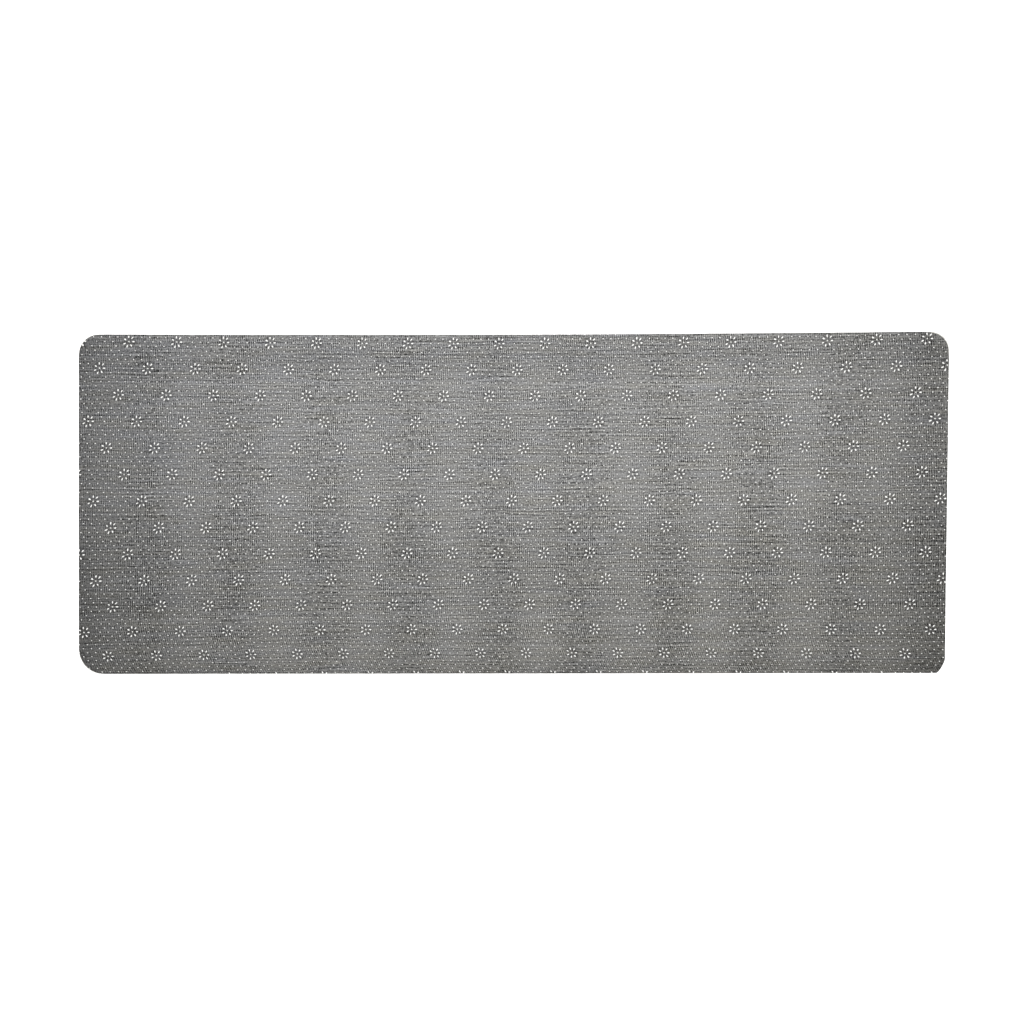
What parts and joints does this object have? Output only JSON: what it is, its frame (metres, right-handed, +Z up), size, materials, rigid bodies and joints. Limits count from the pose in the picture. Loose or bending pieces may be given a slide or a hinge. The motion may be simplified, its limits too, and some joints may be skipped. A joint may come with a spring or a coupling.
{
  "type": "anti fatigue mat",
  "caption": "Rectangular cushioned anti-fatigue floor mat with rounded corners, lying turned over so that its dotted non-slip cloth backing faces up.",
  "frame": {"origin": "on the floor under the middle of the outline's box, with the mat lying turned over on its walking cloth", "axes": "+X along the length, +Y across the width to the long edge that is drawn in a little, +Z up out of the dotted grip print; turn the mat half a turn about X to lay it for use"},
  "size_m": [1.0009, 0.3922, 0.0123],
  "materials": {
    "walking_cloth": "short cut pile, matt",
    "hot_melt_glue": "thin fibrous web, satin",
    "cushion_foam": "cut open-cell polyurethane foam, matt",
    "backing_cloth": "grey stitch-bonded fleece, matt",
    "grip_vinyl": "raised soft vinyl print, satin"
  },
  "bodies": {
    "root": {"face_fabric": "walking_cloth", "face_glue_web": "hot_melt_glue", "foam_core": "cushion_foam", "backing_glue_web": "hot_melt_glue", "backing_cloth": "backing_cloth", "grip_print": "grip_vinyl"}
  },
  "joints": []
}
